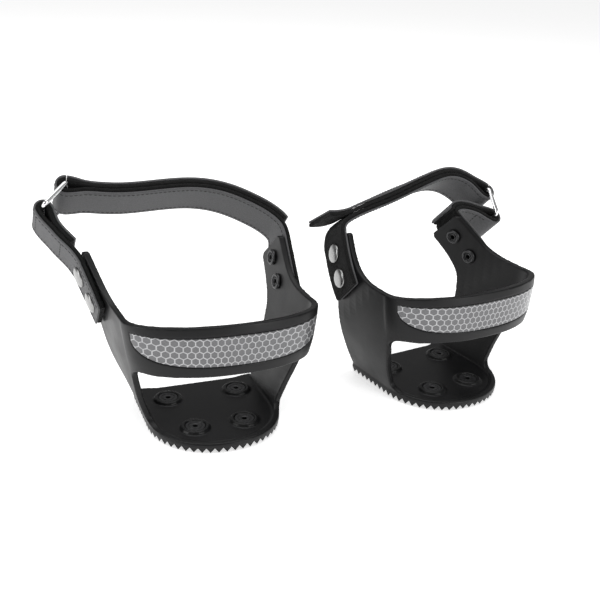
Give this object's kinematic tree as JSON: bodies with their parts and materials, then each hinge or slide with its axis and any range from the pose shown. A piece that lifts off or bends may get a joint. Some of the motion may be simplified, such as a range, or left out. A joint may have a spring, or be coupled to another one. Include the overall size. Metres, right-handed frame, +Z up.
{
  "type": "shoe ice cleats",
  "caption": "Pair of rubber heel cleats with studded soles, reflective rear bands and hook-and-loop straps closed through wire rings.",
  "frame": {"origin": "on the ground, under the middle of the pair's bounding box", "axes": "+X towards the right-hand cleat seen from behind the heels, +Y forwards past the toe ends, +Z up"},
  "size_m": [0.3012, 0.2044, 0.1299],
  "materials": {
    "rubber": "satin",
    "film": "satin",
    "stud": "satin",
    "carbide": "satin",
    "coated": "satin",
    "pile": "matte",
    "hook": "matte",
    "chrome": "polished",
    "nickel": "satin",
    "dark_steel": "satin"
  },
  "bodies": {
    "pair": {"left_heel_shell": "rubber", "left_reflective_strip": "film", "left_strap_face": "coated", "left_tab_face": "coated", "left_strap_pile": "pile", "left_tab_pile": "pile", "left_stud_1": "stud", "left_stud_tip_1": "carbide", "left_stud_2": "stud", "left_stud_tip_2": "carbide", "left_stud_3": "stud", "left_stud_tip_3": "carbide", "left_stud_4": "stud", "left_stud_tip_4": "carbide", "left_strap_rivet_cap_1": "nickel", "left_strap_rivet_post_1": "dark_steel", "left_strap_rivet_cap_2": "nickel", "left_strap_rivet_post_2": "dark_steel", "left_tab_rivet_cap_1": "nickel", "left_tab_rivet_post_1": "dark_steel", "left_tab_rivet_cap_2": "nickel", "left_tab_rivet_post_2": "dark_steel", "right_heel_shell": "rubber", "right_reflective_strip": "film", "right_strap_face": "coated", "right_tab_face": "coated", "right_strap_pile": "pile", "right_tab_pile": "pile", "right_stud_1": "stud", "right_stud_tip_1": "carbide", "right_stud_2": "stud", "right_stud_tip_2": "carbide", "right_stud_3": "stud", "right_stud_tip_3": "carbide", "right_stud_4": "stud", "right_stud_tip_4": "carbide", "right_strap_rivet_cap_1": "nickel", "right_strap_rivet_post_1": "dark_steel", "right_strap_rivet_cap_2": "nickel", "right_strap_rivet_post_2": "dark_steel", "right_tab_rivet_cap_1": "nickel", "right_tab_rivet_post_1": "dark_steel", "right_tab_rivet_cap_2": "nickel", "right_tab_rivet_post_2": "dark_steel"},
    "left_ring": {"left_ring": "chrome"},
    "left_flap": {"left_flap_face": "coated", "left_flap_hook": "hook"},
    "right_ring": {"right_ring": "chrome"},
    "right_flap": {"right_flap_face": "coated", "right_flap_hook": "hook"}
  },
  "joints": [
    {"name": "left_ring_swivel", "type": "hinge", "parent": "pair", "child": "left_ring", "pos_m": [-0.14232, -0.02789, 0.10716], "axis": [0.2717, -0.6528, 0.7071], "range_deg": [-2.5, 2.5]},
    {"name": "left_flap_peel", "type": "hinge", "parent": "pair", "child": "left_flap", "pos_m": [-0.1334, -0.00917, 0.12102], "axis": [0.2717, -0.6528, 0.7071], "range_deg": [0, 100]},
    {"name": "right_ring_swivel", "type": "hinge", "parent": "pair", "child": "right_ring", "pos_m": [0.12964, 0.0769, 0.08425], "axis": [0.3789, -0.597, 0.7071], "range_deg": [-2.5, 2.5]},
    {"name": "right_flap_peel", "type": "hinge", "parent": "pair", "child": "right_flap", "pos_m": [0.12691, 0.09439, 0.10048], "axis": [-0.3789, 0.597, -0.7071], "range_deg": [0, 100]}
  ]
}
